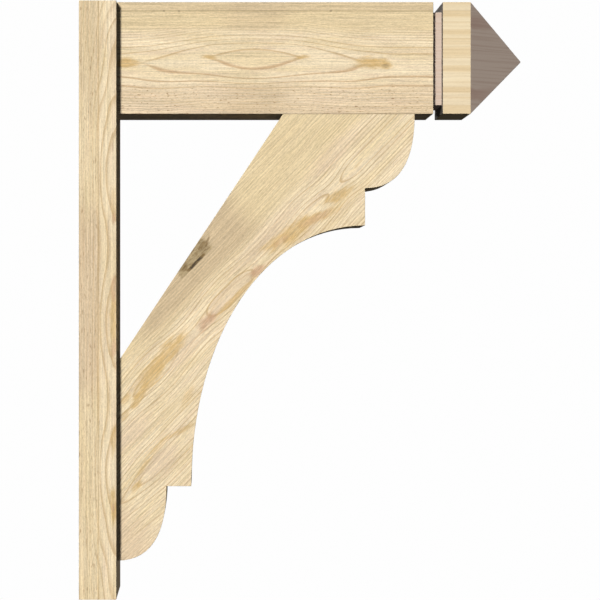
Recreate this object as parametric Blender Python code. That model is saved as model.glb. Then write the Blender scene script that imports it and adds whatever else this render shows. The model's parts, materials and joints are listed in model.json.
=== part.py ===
"""A timber outlooker: an upright wall plate, a level beam with a carved end, and a curved knee brace.

The origin is the middle of the wall plate's rear face, which lies against the wall. +X points out
from the wall, +Z is up, and the width runs along Y. Lengths are in metres.
"""

from math import radians

import bmesh
import bpy
from mathutils import Matrix, Vector
from mathutils.geometry import interpolate_bezier

INCH = 0.0254

# The gap between two timbers that meet.
JOINT_GAP = 0.0003

# The beam: its section, and its lengths outward from the end of the brace.
BEAM_WIDTH = 4.5 * INCH
BEAM_HEIGHT = 6.0 * INCH
BEAM_PAST_BRACE = 1.0 * INCH
GROOVE_LENGTH = 0.5 * INCH
GROOVE_DEPTH = 0.5 * INCH
BLOCK_LENGTH = 1.5 * INCH
POINT_LENGTH = 3.0 * INCH

# The brace: runs are measured outward from the wall plate, drops downward from the beam.
BRACE_RUN = 16.0 * INCH
BRACE_DROP = 24.0 * INCH
SEAT_UNDER_BEAM = 7.07 * INCH
SEAT_ON_PLATE = 10.6 * INCH
END_ROUND_RUN = 2.667 * INCH
END_ROUND_DROP = 4.0 * INCH
UPPER_STEP_DROP = 2.0 * INCH
LOWER_STEP_RUN = 1.333 * INCH

# How far each quarter curve reaches for its corner, where 0.55 is an ellipse and 1 is square.
END_ROUND_FULLNESS = 0.667
ARCH_FULLNESS = 0.577

# The wall plate stands proud of the beam at both sides and runs on below the brace.
PLATE_DEPTH = 2.0 * INCH
PLATE_SIDE_REVEAL = 0.75 * INCH
PLATE_BELOW_BRACE = 2.0 * INCH

END_ROUND_STEPS = 14
ARCH_STEPS = 32
SHARP_ANGLE = radians(30)

# What follows from those sizes.
PLATE_WIDTH = BEAM_WIDTH + 2 * PLATE_SIDE_REVEAL
PLATE_HEIGHT = BEAM_HEIGHT + BRACE_DROP + PLATE_BELOW_BRACE
TOP = PLATE_HEIGHT / 2
BEAM_UNDERSIDE = TOP - BEAM_HEIGHT
BEAM_RUN = BRACE_RUN + BEAM_PAST_BRACE


def clear_scene():
    for obj in list(bpy.data.objects):
        bpy.data.objects.remove(obj, do_unlink=True)


def make_wood(name, colour, roughness):
    wood = bpy.data.materials.new(name)
    wood.use_nodes = True
    wood.diffuse_color = (*colour, 1.0)
    shader = wood.node_tree.nodes["Principled BSDF"]
    shader.inputs["Base Color"].default_value = (*colour, 1.0)
    shader.inputs["Roughness"].default_value = roughness
    shader.inputs["Metallic"].default_value = 0.0
    return wood


def make_piece(name, shape, location, parent, wood):
    """One timber: the bmesh shape as a named object at location."""
    bmesh.ops.recalc_face_normals(shape, faces=shape.faces)
    mesh = bpy.data.meshes.new(name)
    shape.to_mesh(mesh)
    shape.free()
    mesh.shade_smooth()
    mesh.set_sharp_from_angle(angle=SHARP_ANGLE)
    mesh.materials.append(wood)
    piece = bpy.data.objects.new(name, mesh)
    bpy.context.scene.collection.objects.link(piece)
    piece.parent = parent
    piece.location = location
    return piece


def plate_shape():
    """A square-ended board, centred on its own origin."""
    shape = bmesh.new()
    size = Matrix.Diagonal((PLATE_DEPTH, PLATE_WIDTH, PLATE_HEIGHT, 1.0))
    bmesh.ops.create_cube(shape, size=1.0, matrix=size)
    return shape


def section_ring(shape, x, inset):
    """The corners of the beam's section at x, with its sides set in by inset."""
    half_width = BEAM_WIDTH / 2 - inset
    half_height = BEAM_HEIGHT / 2 - inset
    corners = ((-1, -1), (1, -1), (1, 1), (-1, 1))
    return [shape.verts.new((x, side * half_width, level * half_height)) for side, level in corners]


def join_rings(shape, inner, outer):
    for corner in range(4):
        following = (corner + 1) % 4
        shape.faces.new((inner[corner], inner[following], outer[following], outer[corner]))


def beam_shape():
    """The beam along X from the wall plate's face: full run, groove, block and four-sided point."""
    groove_start = BEAM_RUN
    groove_end = groove_start + GROOVE_LENGTH
    block_end = groove_end + BLOCK_LENGTH
    stations = (
        (JOINT_GAP, 0.0),
        (groove_start, 0.0),
        (groove_start, GROOVE_DEPTH),
        (groove_end, GROOVE_DEPTH),
        (groove_end, 0.0),
        (block_end, 0.0),
    )
    shape = bmesh.new()
    rings = [section_ring(shape, x, inset) for x, inset in stations]
    shape.faces.new(rings[0])
    for inner, outer in zip(rings, rings[1:]):
        join_rings(shape, inner, outer)
    tip = shape.verts.new((block_end + POINT_LENGTH, 0.0, 0.0))
    for corner in range(4):
        shape.faces.new((rings[-1][corner], rings[-1][(corner + 1) % 4], tip))
    return shape


def quarter_curve(start, corner, end, fullness, steps):
    """Points after start, up to end, on a curve that sets off and arrives along the corner's legs."""
    leaving = start.lerp(corner, fullness)
    arriving = end.lerp(corner, fullness)
    return interpolate_bezier(start, leaving, arriving, end, steps + 1)[1:]


def brace_outline():
    """The brace's side view as (run, drop) points, from the inner end of its seat under the beam."""
    upper_tip = Vector((BRACE_RUN, JOINT_GAP))
    upper_round_end = Vector((BRACE_RUN - END_ROUND_RUN, END_ROUND_DROP))
    upper_corner = Vector((BRACE_RUN, END_ROUND_DROP))
    arch_top = upper_round_end + Vector((0.0, UPPER_STEP_DROP))

    lower_tip = Vector((JOINT_GAP, BRACE_DROP))
    lower_round_start = Vector((END_ROUND_RUN, BRACE_DROP - END_ROUND_DROP))
    lower_corner = Vector((END_ROUND_RUN, BRACE_DROP))
    arch_foot = lower_round_start + Vector((LOWER_STEP_RUN, 0.0))
    arch_corner = Vector((arch_foot.x, arch_top.y))

    upper_round = (upper_tip, upper_corner, upper_round_end)
    arch = (arch_top, arch_corner, arch_foot)
    lower_round = (lower_round_start, lower_corner, lower_tip)
    return [
        Vector((BRACE_RUN - SEAT_UNDER_BEAM, JOINT_GAP)),
        upper_tip,
        *quarter_curve(*upper_round, END_ROUND_FULLNESS, END_ROUND_STEPS),
        arch_top,
        *quarter_curve(*arch, ARCH_FULLNESS, ARCH_STEPS),
        lower_round_start,
        *quarter_curve(*lower_round, END_ROUND_FULLNESS, END_ROUND_STEPS),
        Vector((JOINT_GAP, BRACE_DROP - SEAT_ON_PLATE)),
    ]


def brace_shape():
    """The brace's outline sawn from a board as wide as the beam, so that their sides are flush."""
    shape = bmesh.new()
    near_side = [shape.verts.new((run, -BEAM_WIDTH / 2, -drop)) for run, drop in brace_outline()]
    face = shape.faces.new(near_side)
    far_side = bmesh.ops.extrude_face_region(shape, geom=[face])["geom"]
    moved = [part for part in far_side if isinstance(part, bmesh.types.BMVert)]
    bmesh.ops.translate(shape, verts=moved, vec=(0.0, BEAM_WIDTH, 0.0))
    return shape


def main():
    clear_scene()
    outlooker = bpy.data.objects.new("outlooker", None)
    bpy.context.scene.collection.objects.link(outlooker)

    plate_wood = make_wood("wall_plate_pine", (0.80, 0.60, 0.36), 0.62)
    beam_wood = make_wood("beam_pine", (0.78, 0.58, 0.35), 0.60)
    brace_wood = make_wood("brace_pine", (0.76, 0.57, 0.33), 0.60)

    plate_place = Vector((PLATE_DEPTH / 2, 0.0, 0.0))
    beam_place = Vector((PLATE_DEPTH, 0.0, TOP - BEAM_HEIGHT / 2))
    brace_place = Vector((PLATE_DEPTH, 0.0, BEAM_UNDERSIDE))
    make_piece("wall_plate", plate_shape(), plate_place, outlooker, plate_wood)
    make_piece("beam", beam_shape(), beam_place, outlooker, beam_wood)
    make_piece("brace", brace_shape(), brace_place, outlooker, brace_wood)


main()
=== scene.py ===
"""Looks of the timber outlooker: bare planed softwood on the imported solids, with lights and camera.

The frame's origin is the middle of the wall plate's rear face, +X points out from the wall and +Z
is up. Inside the wood shaders lengths are in inches, as the timbers were cut.
"""

import json
from math import cos, pi, radians, sin

import bpy
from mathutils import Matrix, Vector

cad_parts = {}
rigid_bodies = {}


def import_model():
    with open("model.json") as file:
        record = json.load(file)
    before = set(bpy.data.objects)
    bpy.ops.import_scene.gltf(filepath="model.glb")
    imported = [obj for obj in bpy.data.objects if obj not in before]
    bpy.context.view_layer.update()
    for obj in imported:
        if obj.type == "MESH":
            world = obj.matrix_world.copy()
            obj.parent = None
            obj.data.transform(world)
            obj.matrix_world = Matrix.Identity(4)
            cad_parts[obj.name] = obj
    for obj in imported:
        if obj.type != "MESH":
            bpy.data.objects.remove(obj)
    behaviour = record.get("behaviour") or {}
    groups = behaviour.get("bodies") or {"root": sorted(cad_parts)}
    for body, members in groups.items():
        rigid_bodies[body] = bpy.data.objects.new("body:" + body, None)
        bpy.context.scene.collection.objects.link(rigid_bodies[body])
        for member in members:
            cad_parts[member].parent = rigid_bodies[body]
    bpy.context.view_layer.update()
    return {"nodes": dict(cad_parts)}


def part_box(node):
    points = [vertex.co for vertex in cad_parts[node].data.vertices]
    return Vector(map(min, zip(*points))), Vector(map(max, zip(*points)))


INCH = 0.0254

for startup_object in list(bpy.data.objects):
    bpy.data.objects.remove(startup_object, do_unlink=True)
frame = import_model()

# Camera, taken as level and square to the side. Its place and lens fit the photograph's edges.
CAMERA_PLACE = Vector((0.17186, -3.28698, 0.0))
CAMERA_LENS = 142.07
CAMERA_SENSOR = 36.0
CAMERA_SHIFT_X = 0.15739

# Light. The key comes from the upper left in front. The rear light is for the far side, and a weak
# level light is for the outer end.
TOWARDS_KEY = Vector((-0.284, -0.887, 0.364))
TOWARDS_REAR_LIGHT = Vector((-0.08, 0.90, 0.43))
TOWARDS_END_LIGHT = Vector((1.0, 0.0, 0.0))
KEY_STRENGTH = 3.65
REAR_STRENGTH = 2.4
END_STRENGTH = 0.32
KEY_SOFTNESS = radians(9)
REAR_SOFTNESS = radians(6)
END_SOFTNESS = radians(6)
AMBIENT = 0.04

# Stage. The floor lies far enough down to leave the outlooker in view from underneath.
FLOOR_HEIGHT = -6.0
FLOOR_RADIUS = 20.0
BACKDROP_RADIUS = 24.0

# Edges. Points closer than WELD_DISTANCE are joined, and so are faces that meet below FLAT_ANGLE.
# Then each edge that turns by more than SHARP_ANGLE is eased.
WELD_DISTANCE = 0.00001
FLAT_ANGLE = radians(0.5)
SHARP_ANGLE = radians(30)
EASED_WIDTH = 0.0005
EASED_STEPS = 2

# The beam's groove, in inches from the wall. All that lies beyond its start is carved.
GROOVE_START = 19.0
GROOVE_END = 19.5

# About the average of the fine relief, taken off so that the overall tone stays much as it is.
MEAN_RELIEF = 0.345

# How strongly the near side and the point's near facet are lit, which turns a colour that shows
# there into albedo.
LIGHT_ON_NEAR_SIDE = 1.08
LIGHT_ON_POINT = 0.76


def albedo(red, green, blue, light=LIGHT_ON_NEAR_SIDE):
    """The linear colour of a surface that shows as this 0 to 255 colour under that much light."""
    channels = [value / 255 for value in (red, green, blue)]
    linear = [((v + 0.055) / 1.055) ** 2.4 if v > 0.04045 else v / 12.92 for v in channels]
    return (*[value / light for value in linear], 1.0)


# Wood colours as they show on the camera's side.
EARLYWOOD = albedo(243, 223, 186)
WARM_WOOD = albedo(228, 205, 158)
PINK_WOOD = albedo(224, 198, 166)
TAN_WOOD = albedo(208, 184, 146)
LATEWOOD = albedo(194, 160, 108)
GOLD_WOOD = albedo(213, 178, 116)
RED_WOOD = albedo(205, 166, 130)
FLECK_WOOD = albedo(160, 122, 80)
BARK_WOOD = albedo(172, 150, 108)
BARK_BROWN = albedo(118, 90, 38)
KNOT_WOOD = albedo(66, 48, 14)
PALE_WOOD = albedo(244, 226, 190)
NECK_WOOD = albedo(216, 193, 176)
END_GRAIN = albedo(149, 134, 122, light=LIGHT_ON_POINT)
END_LINE = albedo(122, 100, 88, light=LIGHT_ON_POINT)
END_RED = albedo(136, 114, 102, light=LIGHT_ON_POINT)
# Painted shade: a darker end-grain colour for the groove's walls that stands for the shade inside the
# recess.
PAINTED_GROOVE_SHADE = albedo(96, 88, 80, light=LIGHT_ON_POINT)


class Graph:
    """Adds nodes to one tree. A value is a number, a tuple or another node's output."""

    def __init__(self, tree):
        self.tree = tree

    def feed(self, socket, value):
        if isinstance(value, bpy.types.NodeSocket):
            self.tree.links.new(value, socket)
        else:
            socket.default_value = value

    def node(self, kind, values=(), **settings):
        made = self.tree.nodes.new(kind)
        for name, setting in settings.items():
            setattr(made, name, setting)
        for socket, value in zip(made.inputs, values):
            self.feed(socket, value)
        return made

    def math(self, operation, *values):
        return self.node("ShaderNodeMath", values, operation=operation).outputs[0]

    def add(self, *values):
        total = values[0]
        for value in values[1:]:
            total = self.math("ADD", total, value)
        return total

    def times(self, *values):
        product = values[0]
        for value in values[1:]:
            product = self.math("MULTIPLY", product, value)
        return product

    def less(self, first, second):
        return self.math("SUBTRACT", first, second)

    def hypot(self, first, second):
        squares = self.add(self.times(first, first), self.times(second, second))
        return self.math("SQRT", squares)

    def step(self, value, low, high):
        """A smooth rise from 0 at low to 1 at high, or a fall if low is the larger."""
        if low > high:
            return self.less(1.0, self.step(value, high, low))
        ramp = self.node("ShaderNodeMapRange", (value, low, high), interpolation_type="SMOOTHSTEP")
        return ramp.outputs[0]

    def band(self, value, low, high, soft):
        """1 where the value lies from low to high, fading to 0 over soft on each side."""
        return self.times(self.step(value, low - soft, low), self.step(value, high + soft, high))

    def bend(self, value, start, slope, ease=0.5):
        """0 below start and rising by slope above it, with a corner that is eased this far."""
        past = self.add(value, -start)
        return self.times(self.add(self.hypot(past, ease), past), slope / 2)

    def vector(self, x, y, z):
        return self.node("ShaderNodeCombineXYZ", (x, y, z)).outputs[0]

    def noise(self, place, detail=2.0, roughness=0.5):
        made = self.node("ShaderNodeTexNoise", noise_dimensions="3D")
        self.feed(made.inputs["Vector"], place)
        made.inputs["Scale"].default_value = 1.0
        made.inputs["Detail"].default_value = detail
        made.inputs["Roughness"].default_value = roughness
        return made.outputs[0]

    def mix(self, factor, first, second, blend="MIX"):
        """Mixes two colours. The node's colour sockets are inputs 6 and 7 and output 2."""
        made = self.node("ShaderNodeMix", data_type="RGBA", blend_type=blend)
        self.feed(made.inputs[0], factor)
        self.feed(made.inputs[6], first)
        self.feed(made.inputs[7], second)
        return made.outputs[2]


class Timber(Graph):
    """One timber's wood, in inches: x and z of the frame, and along, across and deep of the grain.

    Across is square to the grain on the camera's face of the timber, and deep is into that face.
    The colour starts as clear wood, and each tint is laid over it.
    """

    def __init__(self, name, slope, near_face, seed):
        self.material = bpy.data.materials.new(name)
        self.material.use_nodes = True
        super().__init__(self.material.node_tree)
        self.shader = self.tree.nodes["Principled BSDF"]
        self.seed = seed
        place = self.node("ShaderNodeTexCoord").outputs["Object"]
        split = self.node("ShaderNodeSeparateXYZ", (place,))
        self.x, y, self.z = [self.times(output, 1 / INCH) for output in split.outputs]
        turn = radians(slope)
        self.grain = (cos(turn), 0.0, sin(turn))
        self.along = self.add(self.times(self.x, cos(turn)), self.times(self.z, sin(turn)))
        self.across = self.add(self.times(self.x, -sin(turn)), self.times(self.z, cos(turn)))
        self.deep = self.add(y, -near_face)
        self.smooth = 0.0
        self.ragged = self.add(self.wander(0.7, 0.9, 0.22, 7.0), self.times(self.deep, 0.4))
        cloudy = self.step(self.grain_noise(0.5, 0.16, 2.0, 0.6, 61.0), 0.30, 0.62)
        self.mottle = self.add(self.times(cloudy, 0.35), 0.65)
        self.colour = self.clear_wood()

    def grain_noise(self, length, width, detail=2.0, roughness=0.5, offset=0.0):
        """Noise drawn out along the grain, with features of this length and width in inches.

        Each offset gives a pattern of its own.
        """
        along = self.add(self.times(self.along, 1 / length), self.seed + offset)
        across = self.times(self.across, 1 / width)
        deep = self.times(self.deep, 1 / width)
        return self.noise(self.vector(along, across, deep), detail, roughness)

    def layer_noise(self, length, thickness, offset=0.0):
        """Noise in layers of this thickness in inches, which run straight into the timber."""
        along = self.add(self.times(self.along, 1 / length), self.seed + offset)
        across = self.times(self.across, 1 / thickness)
        deep = self.times(self.deep, 1 / length)
        return self.noise(self.vector(along, across, deep), 2.0, 0.6)

    def wander(self, amount, length, width, offset=0.0):
        """A slow wander of up to about this much each way."""
        noise = self.grain_noise(length, width, 2.0, 0.5, offset)
        return self.times(self.add(noise, -0.5), 2 * amount)

    def clear_wood(self):
        """Slow changes between cream, warm and pinkish."""
        warm = self.step(self.grain_noise(5.0, 0.7, 3.0, 0.55, 17.0), 0.38, 0.64)
        pink = self.step(self.grain_noise(3.0, 0.4, 3.0, 0.6, 23.0), 0.46, 0.70)
        colour = self.mix(self.times(warm, 0.6), EARLYWOOD, WARM_WOOD)
        return self.mix(self.times(pink, 0.5), colour, PINK_WOOD)

    def tint(self, mask, colour, strength=1.0):
        self.colour = self.mix(self.times(mask, strength), self.colour, colour)

    def depth_square(self, heart_depth):
        """What a ring's squared radius gains below the face, for a heart this deep under it."""
        return self.times(self.deep, self.add(self.deep, -2 * heart_depth))

    def latewood(self, rings, narrow, wide, least=0.30):
        """Dark lines at whole ring counts, each with its sharp side outward.

        Narrow is their width near the heart, as a part of a ring, and wide the width further out.
        Out there their spacing is uneven, and some lines are fainter than others, down to least.
        """
        outer = self.step(rings, 1.6, 4.0)
        uneven = self.node("ShaderNodeTexNoise", noise_dimensions="1D")
        self.feed(uneven.inputs["W"], self.add(self.times(rings, 0.55), self.seed))
        uneven.inputs["Scale"].default_value = 1.0
        rings = self.add(rings, self.times(self.add(uneven.outputs[0], -0.5), outer))
        number = self.math("FLOOR", rings)
        part = self.less(rings, number)
        shade = self.node("ShaderNodeTexWhiteNoise", noise_dimensions="1D")
        self.feed(shade.inputs["W"], self.add(number, self.seed))
        fading = self.times(self.less(1.0, shade.outputs["Value"]), outer, 1.0 - least)
        width = self.add(self.times(outer, wide - narrow), narrow)
        before = self.math("DIVIDE", self.add(part, -0.92), width)
        line = self.times(self.step(before, -1.0, 0.0), self.step(part, 1.0, 0.93))
        return self.times(line, self.less(1.0, fading))

    def reach(self, place, length, width, slope, straight=0.0):
        """0 at a point (x, z) of the near face, and 1 on the oval of this size round it.

        The oval's long sides run straight for that part of its length.
        """
        turn = radians(slope)
        right = self.add(self.x, -place[0])
        up = self.add(self.z, -place[1])
        lengthwise = self.add(self.times(right, cos(turn)), self.times(up, sin(turn)))
        crosswise = self.add(self.times(right, -sin(turn)), self.times(up, cos(turn)))
        if straight > 0.0:
            past_straight = self.add(self.math("ABSOLUTE", lengthwise), -straight / 2)
            lengthwise = self.math("MAXIMUM", past_straight, 0.0)
        lengthwise = self.times(lengthwise, 2 / (length - straight))
        return self.hypot(lengthwise, self.times(crosswise, 2 / width))

    def patch(self, place, length, width, slope):
        """A ragged patch of this size round a point (x, z) of the near face, fading with depth."""
        reach = self.reach(place, length, width, slope)
        return self.times(self.step(self.add(reach, self.ragged), 1.45, 0.55), self.mottle)

    def patches(self, colour, places):
        """Tints a patch for each (x, z, length, width, slope, strength)."""
        for x, z, length, width, slope, strength in places:
            self.tint(self.patch((x, z), length, width, slope), colour, strength)

    def flecks(self, amount, length=0.45):
        """Short dark dashes along the grain, where amount lets them through."""
        dashes = self.step(self.grain_noise(length, 0.07, 1.0, 0.4, 31.0), 0.62, 0.76)
        self.tint(dashes, FLECK_WOOD, amount)

    def end_grain(self):
        """1 where the surface is cut across the grain, 0 where it runs along it."""
        normal = self.node("ShaderNodeNewGeometry").outputs["Normal"]
        compare = self.node("ShaderNodeVectorMath", (normal, self.grain), operation="DOT_PRODUCT")
        dot = compare.outputs["Value"]
        return self.step(self.times(dot, dot), 0.10, 0.34)

    def finish(self, lines, end_colour_and_shade, end_lines):
        """Joins colour, end grain, fibre and relief to the shader."""
        hairs = self.step(self.grain_noise(6.0, 0.075, 1.0, 0.5, 11.0), 0.30, 0.70)
        fibre = self.step(self.grain_noise(1.6, 0.10, 2.0, 0.6, 13.0), 0.25, 0.75)
        pores = self.step(self.grain_noise(0.24, 0.06, 1.0, 0.6, 19.0), 0.25, 0.75)
        grit = self.step(self.grain_noise(0.09, 0.07, 1.0, 0.5, 37.0), 0.25, 0.75)
        relief = self.add(self.times(hairs, 0.20), self.times(fibre, 0.17), self.times(pores, 0.18))
        relief = self.add(relief, self.times(grit, 0.12))
        rough_part = self.less(1.0, self.smooth)
        tone = self.add(self.times(self.add(relief, -MEAN_RELIEF), rough_part), 1.0)
        grey = self.node("ShaderNodeCombineColor", (tone, tone, tone)).outputs[0]
        side = self.mix(1.0, self.colour, grey, "MULTIPLY")
        end = self.mix(end_lines, end_colour_and_shade, END_LINE)
        self.feed(self.shader.inputs["Base Color"], self.mix(self.end_grain(), side, end))
        self.feed(self.shader.inputs["Roughness"], self.add(self.times(fibre, -0.12), 0.72))
        height = self.add(self.times(fibre, 0.5), self.times(lines, 0.5))
        bump = self.node("ShaderNodeBump")
        bump.inputs["Strength"].default_value = 0.35
        bump.inputs["Distance"].default_value = 0.0002
        self.feed(bump.inputs["Height"], height)
        self.feed(self.shader.inputs["Normal"], bump.outputs["Normal"])
        return self.material


def beam_rings(timber):
    """Ring count of the beam, and how far a point lies above the line of its heart.

    One lens lies inside another at lens_middle, and the rings bow round them.
    """
    lens_middle = 9.42
    heart_height = 13.05
    heart_depth = 2.2
    away = timber.math("ABSOLUTE", timber.add(timber.along, -lens_middle))
    sag = timber.times(timber.step(away, 2.0, 6.0), 0.32)
    height = timber.add(timber.across, -heart_height, sag, timber.wander(0.04, 3.0, 0.5, 3.0))
    distance = timber.math("ABSOLUTE", height)
    above = timber.step(height, -0.02, 0.02)
    per_square = timber.add(timber.times(above, 1.39), 1.09)
    per_inch = timber.add(timber.times(above, 0.44), 0.72)
    square = timber.add(timber.times(distance, distance), timber.depth_square(heart_depth))
    out = timber.math("MAXIMUM", timber.times(square, per_square), timber.times(distance, per_inch))
    low_crowd = timber.bend(timber.times(height, -1.0), 1.6, 2.6, ease=0.2)
    inner_rise = timber.times(timber.step(away, 0.0, 5.6), 1.16)
    outer_rise = timber.times(timber.step(away, 4.6, 7.4), 0.6)
    rise = timber.add(inner_rise, outer_rise)
    rings = timber.add(out, low_crowd, rise, timber.wander(0.06, 1.6, 0.25), 0.42)
    return rings, height


def beam_wood(node):
    timber = Timber("beam_wood", slope=0.0, near_face=near_side(node), seed=0.0)
    rings, height = beam_rings(timber)
    carved = timber.step(timber.along, GROOVE_START - 0.01, GROOVE_START + 0.01)
    lines = timber.times(timber.latewood(rings, 0.13, 0.36, least=0.5), timber.less(1.0, carved))

    clear_part = timber.step(timber.across, 14.25, 14.75)
    low_part = timber.step(timber.across, 11.9, 11.2)
    timber.tint(clear_part, WARM_WOOD, 0.75)
    timber.tint(low_part, PINK_WOOD, 0.45)
    shaded_middle = timber.band(timber.along, 8.7, 10.2, 1.6)
    timber.tint(timber.times(shaded_middle, timber.add(clear_part, low_part)), TAN_WOOD, 0.5)
    strength = timber.add(0.68, timber.times(clear_part, -0.36), timber.times(low_part, -0.10))
    timber.tint(lines, LATEWOOD, strength)
    timber.tint(timber.step(rings, 0.90, 0.72), WARM_WOOD, 0.6)
    rosy = timber.band(height, -1.2, -0.35, 0.25)
    timber.tint(timber.times(rosy, lines), RED_WOOD, 0.4)
    timber.flecks(timber.add(timber.times(low_part, 0.70), 0.18), length=0.22)

    timber.tint(timber.step(timber.across, 15.50, 15.58), TAN_WOOD, 0.5)
    timber.tint(timber.band(timber.across, 15.50, 15.54, 0.035), BARK_WOOD, 0.6)
    timber.patches(PALE_WOOD, (
        (4.60, 12.74, 3.0, 0.36, 0.0, 0.6),
        (13.40, 12.74, 3.0, 0.36, 0.0, 0.6),
    ))
    timber.patches(GOLD_WOOD, (
        (2.50, 12.74, 1.3, 0.50, 0.0, 1.0),
        (2.40, 12.72, 1.0, 0.40, 0.0, 0.6),
        (15.70, 12.76, 1.5, 0.56, 0.0, 1.0),
        (16.35, 12.60, 0.8, 0.34, -8.0, 0.9),
        (6.95, 13.05, 0.8, 0.22, 0.0, 0.80),
        (11.95, 13.05, 0.8, 0.22, 0.0, 0.80),
    ))
    timber.patches(KNOT_WOOD, (
        (16.43, 12.57, 0.36, 0.20, 0.0, 0.40),
        (4.53, 15.52, 0.14, 0.10, 0.0, 0.55),
        (5.34, 15.52, 0.14, 0.10, 0.0, 0.55),
        (13.50, 15.53, 0.14, 0.10, 0.0, 0.55),
    ))

    streaks = timber.step(timber.layer_noise(30.0, 0.45, 41.0), 0.42, 0.58)
    thin_streaks = timber.step(timber.layer_noise(30.0, 0.10, 43.0), 0.42, 0.66)
    timber.tint(carved, PALE_WOOD, 0.7)
    timber.tint(timber.times(carved, streaks), GOLD_WOOD, 0.38)
    timber.tint(timber.times(carved, thin_streaks), LATEWOOD, 0.20)
    neck = timber.band(timber.along, GROOVE_START, GROOVE_END - 0.01, 0.01)
    timber.tint(neck, NECK_WOOD, 0.9)
    timber.tint(timber.times(neck, thin_streaks), RED_WOOD, 0.3)
    timber.smooth = timber.times(carved, 0.75)
    end_streaks = timber.step(timber.layer_noise(8.0, 0.13, 47.0), 0.46, 0.66)
    wavering = timber.add(timber.across, -13.0, timber.wander(0.3, 2.0, 1.0))
    off_middle = timber.math("ABSOLUTE", wavering)
    towards_block = timber.step(timber.along, 23.2, 21.2)
    red_part = timber.times(timber.band(off_middle, 1.7, 2.1, 0.25), towards_block)
    end_colour_and_shade = timber.mix(timber.times(red_part, 0.8), END_GRAIN, END_RED)
    # Painted shade: the groove's walls take the darker colour, which stands for the shade in the
    # recess and is not a colour of the wood.
    groove = timber.band(timber.along, GROOVE_START - 0.01, GROOVE_END + 0.01, 0.005)
    end_colour_and_shade = timber.mix(groove, end_colour_and_shade, PAINTED_GROOVE_SHADE)
    return timber.finish(lines, end_colour_and_shade, timber.times(end_streaks, 0.35))


def plate_rings(timber):
    """Ring count of the plate, whose heart runs up just off its front, where the grain is waved."""
    heart = 2.09
    heart_depth = 2.5
    wave_length = 7.97
    wave_foot = 6.73
    out = timber.add(timber.across, heart, timber.wander(0.06, 4.0, 0.5, 3.0))
    square = timber.add(timber.times(out, out), timber.depth_square(heart_depth))
    turns = timber.times(timber.add(timber.along, -wave_foot), 2 * pi / wave_length)
    wave = timber.math("COSINE", turns)
    rise = timber.times(timber.less(1.0, wave), timber.step(out, 1.5, 0.6), 0.66)
    upper_rise = timber.bend(timber.along, 10.3, 0.8)
    lower_rise = timber.bend(timber.times(timber.along, -1.0), 12.9, 0.8)
    square_rings = timber.times(square, 1 / 0.49)
    return timber.add(square_rings, rise, upper_rise, lower_rise, timber.wander(0.12, 3.0, 0.3))


def plate_wood(node):
    timber = Timber("wall_plate_wood", slope=90.0, near_face=near_side(node), seed=40.0)
    lines = timber.latewood(plate_rings(timber), 0.42, 0.42)

    rear_half = timber.step(timber.x, 1.25, 0.95)
    timber.tint(rear_half, WARM_WOOD, 0.4)
    middle = timber.times(rear_half, timber.band(timber.z, -3.5, 3.0, 2.5))
    timber.tint(middle, TAN_WOOD, 0.3)
    timber.tint(middle, PINK_WOOD, 0.5)
    timber.tint(timber.times(rear_half, timber.step(timber.z, 8.0, 12.5)), TAN_WOOD, 0.4)
    timber.tint(timber.band(timber.z, -3.0, 3.0, 3.0), TAN_WOOD, 0.2)
    streaks = timber.step(timber.layer_noise(7.0, 0.10, 41.0), 0.50, 0.68)
    timber.tint(timber.times(rear_half, streaks), FLECK_WOOD, 0.28)
    off_line = timber.add(timber.x, timber.wander(0.05, 3.0, 9.0, 71.0))
    dividing_line = timber.band(off_line, 1.02, 1.05, 0.04)
    timber.tint(dividing_line, LATEWOOD, 0.5)
    timber.tint(lines, LATEWOOD, timber.add(0.62, timber.times(rear_half, -0.17)))
    timber.flecks(timber.add(timber.times(rear_half, 0.60), 0.06))
    timber.patches(GOLD_WOOD, (
        (1.86, 5.15, 1.8, 0.34, 90.0, 0.45),
        (1.85, -1.1, 4.0, 0.36, 90.0, 0.8),
        (1.84, -7.4, 1.6, 0.30, 90.0, 0.7),
        (1.85, -11.0, 1.7, 0.36, 90.0, 0.9),
    ))
    timber.patches(RED_WOOD, (
        (1.86, 0.65, 1.3, 0.26, 90.0, 0.7),
        (1.86, 4.35, 0.5, 0.20, 90.0, 0.6),
        (1.86, -2.60, 1.0, 0.24, 90.0, 0.7),
        (1.82, -11.1, 0.45, 0.14, 90.0, 0.6),
        (1.80, 8.20, 0.40, 0.08, 90.0, 0.5),
    ))
    return timber.finish(lines, WARM_WOOD, timber.times(lines, 0.5))


def brace_rings(timber):
    """Ring count of the brace, whose face cuts two hearts that run up its slope."""
    drift = timber.wander(0.06, 4.0, 0.6, 3.0)
    heart_depth = 0.4
    upper_heart = -5.68
    lower_heart = -9.20
    rings_per_inch = 6.2
    wave_length = 5.83

    def rings_round(centre, rise):
        offset = timber.add(timber.across, -centre, drift)
        below = timber.depth_square(heart_depth)
        square = timber.add(timber.times(offset, offset), below, heart_depth ** 2)
        radius = timber.math("SQRT", square)
        return timber.add(timber.times(timber.add(radius, -heart_depth), rings_per_inch), rise)

    wave = timber.math("COSINE", timber.times(timber.along, 2 * pi / wave_length))
    near = timber.step(timber.deep, 2.6, 0.6)
    rise = timber.times(timber.less(1.0, wave), 0.72, timber.step(timber.along, 15.5, 13.5), near)
    lower_rise = timber.bend(timber.times(timber.along, -1.0), 3.9, 0.8)
    upper_rings = rings_round(upper_heart, rise)
    rings = timber.math("MINIMUM", upper_rings, rings_round(lower_heart, lower_rise))
    taper = timber.times(timber.less(1.0, near), timber.along, 0.22)
    return timber.add(rings, taper, timber.wander(0.15, 2.0, 0.4))


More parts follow.
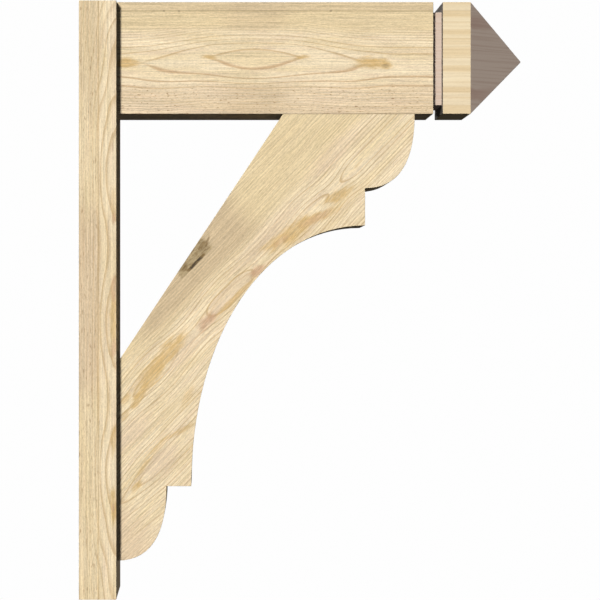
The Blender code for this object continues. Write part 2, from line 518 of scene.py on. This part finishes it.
def bark(timber):
    """A dark scar with bark in it, where the sawn straight edge ran out of the log."""
    ragged = timber.wander(0.35, 0.5, 0.15, 53.0)
    edge_side = timber.step(timber.across, -3.22, -3.14)
    length = timber.band(timber.add(timber.along, ragged), 4.95, 6.75, 0.40)
    scar = timber.times(edge_side, length, timber.step(timber.deep, 1.6, 0.9))
    timber.tint(scar, BARK_WOOD, 0.85)
    clots = timber.step(timber.grain_noise(0.30, 0.14, 3.0, 0.6, 59.0), 0.46, 0.60)
    timber.tint(timber.times(scar, clots), BARK_BROWN, 0.55)
    timber.patches(BARK_BROWN, (
        (6.62, 2.90, 0.60, 0.38, 60.0, 0.60),
        (6.88, 3.20, 0.60, 0.10, 72.0, 0.70),
        (5.64, 1.70, 0.40, 0.26, 50.0, 0.75),
    ))
    crack = timber.times(scar, timber.band(timber.across, -3.20, -3.05, 0.04))
    broken = timber.step(timber.grain_noise(0.22, 0.10, 2.0, 0.6, 67.0), 0.32, 0.50)
    brown_length = timber.band(timber.along, 5.25, 6.35, 0.20)
    dark_length = timber.band(timber.along, 5.45, 6.10, 0.20)
    timber.tint(timber.times(crack, brown_length), BARK_BROWN, 0.85)
    timber.tint(timber.times(crack, broken, dark_length), KNOT_WOOD)


def brace_wood(node):
    timber = Timber("brace_wood", slope=46.0, near_face=near_side(node), seed=80.0)
    lines = timber.latewood(brace_rings(timber), 0.30, 0.36, least=0.45)
    plain = timber.step(timber.across, -4.6, -3.8)
    round_end = timber.step(timber.along, -5.5, -7.5)
    timber.tint(plain, WARM_WOOD, 0.75)
    timber.tint(timber.times(plain, timber.band(timber.along, 2.0, 8.5, 2.0)), TAN_WOOD, 0.9)
    timber.tint(round_end, WARM_WOOD, 0.4)
    timber.tint(round_end, PINK_WOOD, 0.6)
    strength = timber.add(0.70, timber.times(plain, -0.45), timber.times(round_end, -0.35))
    timber.tint(lines, LATEWOOD, timber.math("MAXIMUM", strength, 0.15))
    timber.flecks(0.15)
    timber.patches(PINK_WOOD, (
        (4.35, -8.70, 2.4, 1.0, 46.0, 0.70),
        (2.87, -7.10, 2.6, 1.0, 48.0, 0.60),
        (5.60, -2.80, 2.4, 0.8, 50.0, 0.60),
        (10.10, 3.40, 5.0, 1.0, 46.0, 0.50),
        (13.70, 7.90, 4.0, 1.0, 46.0, 0.50),
    ))
    loop = timber.reach((8.11, 0.37), 3.42, 0.84, 44.0, straight=1.2)
    loop = timber.add(loop, timber.wander(0.12, 0.9, 0.3, 73.0))
    timber.tint(timber.step(loop, 1.0, 0.8), PINK_WOOD, 0.45)
    timber.tint(timber.band(loop, 0.97, 1.02, 0.08), LATEWOOD, 0.65)
    timber.patches(GOLD_WOOD, (
        (4.70, -2.90, 2.9, 0.85, 52.0, 0.90),
        (3.78, -4.08, 2.1, 0.90, 57.0, 0.85),
        (3.19, -5.21, 1.5, 0.42, 60.0, 0.95),
        (2.49, -5.32, 0.7, 0.36, 50.0, 0.70),
        (2.44, -6.18, 0.7, 0.32, 50.0, 0.60),
        (11.48, 3.63, 3.0, 0.75, 38.0, 0.90),
        (10.30, 3.05, 1.4, 0.36, 35.0, 0.60),
        (12.82, 4.44, 2.4, 0.50, 29.0, 0.75),
        (13.81, 5.51, 1.9, 0.50, 31.0, 0.85),
        (3.05, -10.02, 0.8, 0.30, 50.0, 0.80),
        (3.41, -9.00, 1.6, 0.24, 55.0, 0.60),
        (4.27, -7.79, 1.7, 0.24, 45.0, 0.60),
        (5.42, -7.04, 1.6, 0.26, 28.0, 0.60),
        (5.80, -5.20, 1.3, 0.40, 58.0, 0.45),
        (8.26, 0.06, 2.8, 0.26, 46.0, 0.80),
    ))
    timber.patches(RED_WOOD, (
        (6.82, -1.18, 1.3, 0.56, 46.0, 0.90),
        (9.52, 1.56, 0.85, 0.45, 45.0, 0.90),
        (12.70, 4.38, 1.9, 0.36, 29.0, 0.45),
        (10.85, 3.20, 0.9, 0.30, 40.0, 0.40),
    ))
    timber.patches(PALE_WOOD, ((13.20, 5.02, 1.0, 0.30, 28.0, 0.7),))
    bark(timber)
    return timber.finish(lines, WARM_WOOD, timber.times(lines, 0.5))


def near_side(node):
    """Where the node's face towards the camera lies at rest, in inches along Y."""
    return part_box(node)[0].y / INCH


def dress(node, material):
    """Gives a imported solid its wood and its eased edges.

    It throws no bounced light on the others, which keeps the shaded faces deep.
    """
    piece = frame["nodes"][node]
    piece.data.materials.clear()
    piece.data.materials.append(material)
    piece.visible_diffuse = False
    weld = piece.modifiers.new("joined_faces", "WELD")
    weld.merge_threshold = WELD_DISTANCE
    flat = piece.modifiers.new("whole_faces", "DECIMATE")
    flat.decimate_type = "DISSOLVE"
    flat.angle_limit = FLAT_ANGLE
    eased = piece.modifiers.new("eased_edges", "BEVEL")
    eased.width = EASED_WIDTH
    eased.segments = EASED_STEPS
    eased.limit_method = "ANGLE"
    eased.angle_limit = SHARP_ANGLE
    eased.harden_normals = True


def make_sun(name, towards, strength, softness):
    data = bpy.data.lights.new(name, "SUN")
    data.energy = strength
    data.angle = softness
    sun = bpy.data.objects.new(name, data)
    sun.rotation_euler = towards.to_track_quat("Z", "Y").to_euler()
    bpy.context.scene.collection.objects.link(sun)


def make_stage():
    """A pale floor well below the outlooker, inside a white backdrop that lights nothing."""
    floor_white = bpy.data.materials.new("floor_white")
    floor_white.use_nodes = True
    shader = floor_white.node_tree.nodes["Principled BSDF"]
    shader.inputs["Base Color"].default_value = (0.9, 0.9, 0.9, 1.0)
    shader.inputs["Roughness"].default_value = 1.0
    shader.inputs["Emission Color"].default_value = (1.0, 1.0, 1.0, 1.0)
    shader.inputs["Emission Strength"].default_value = 0.85
    place = (0.0, 0.0, FLOOR_HEIGHT)
    bpy.ops.mesh.primitive_circle_add(
        vertices=96, radius=FLOOR_RADIUS, fill_type="NGON", location=place)
    floor = bpy.context.object
    floor.name = "floor"
    floor.data.materials.append(floor_white)

    backdrop_white = bpy.data.materials.new("backdrop_white")
    backdrop_white.use_nodes = True
    tree = backdrop_white.node_tree
    tree.nodes.clear()
    glow = tree.nodes.new("ShaderNodeEmission")
    glow.inputs["Strength"].default_value = 0.99
    output = tree.nodes.new("ShaderNodeOutputMaterial")
    tree.links.new(glow.outputs[0], output.inputs["Surface"])
    bpy.ops.mesh.primitive_uv_sphere_add(segments=64, ring_count=32, radius=BACKDROP_RADIUS)
    backdrop = bpy.context.object
    backdrop.name = "backdrop"
    backdrop.data.materials.append(backdrop_white)
    for piece in (floor, backdrop):
        piece.visible_diffuse = False
        piece.visible_glossy = False
        piece.visible_shadow = False


def make_camera():
    data = bpy.data.cameras.new("camera")
    data.lens = CAMERA_LENS
    data.sensor_width = CAMERA_SENSOR
    data.shift_x = CAMERA_SHIFT_X
    data.clip_end = 100.0
    camera = bpy.data.objects.new("camera", data)
    camera.location = CAMERA_PLACE
    camera.rotation_euler = (radians(90), 0.0, 0.0)
    bpy.context.scene.collection.objects.link(camera)
    bpy.context.scene.camera = camera


def light_scene():
    make_sun("key", TOWARDS_KEY, KEY_STRENGTH, KEY_SOFTNESS)
    make_sun("rear_light", TOWARDS_REAR_LIGHT, REAR_STRENGTH, REAR_SOFTNESS)
    make_sun("end_light", TOWARDS_END_LIGHT, END_STRENGTH, END_SOFTNESS)
    world = bpy.data.worlds.new("studio")
    world.use_nodes = True
    sky = world.node_tree.nodes["Background"]
    sky.inputs["Color"].default_value = (1.0, 1.0, 1.0, 1.0)
    sky.inputs["Strength"].default_value = AMBIENT
    bpy.context.scene.world = world
    bpy.context.scene.view_settings.view_transform = "Standard"


make_camera()
light_scene()
make_stage()
dress("wall_plate", plate_wood("wall_plate"))
dress("beam", beam_wood("beam"))
dress("brace", brace_wood("brace"))
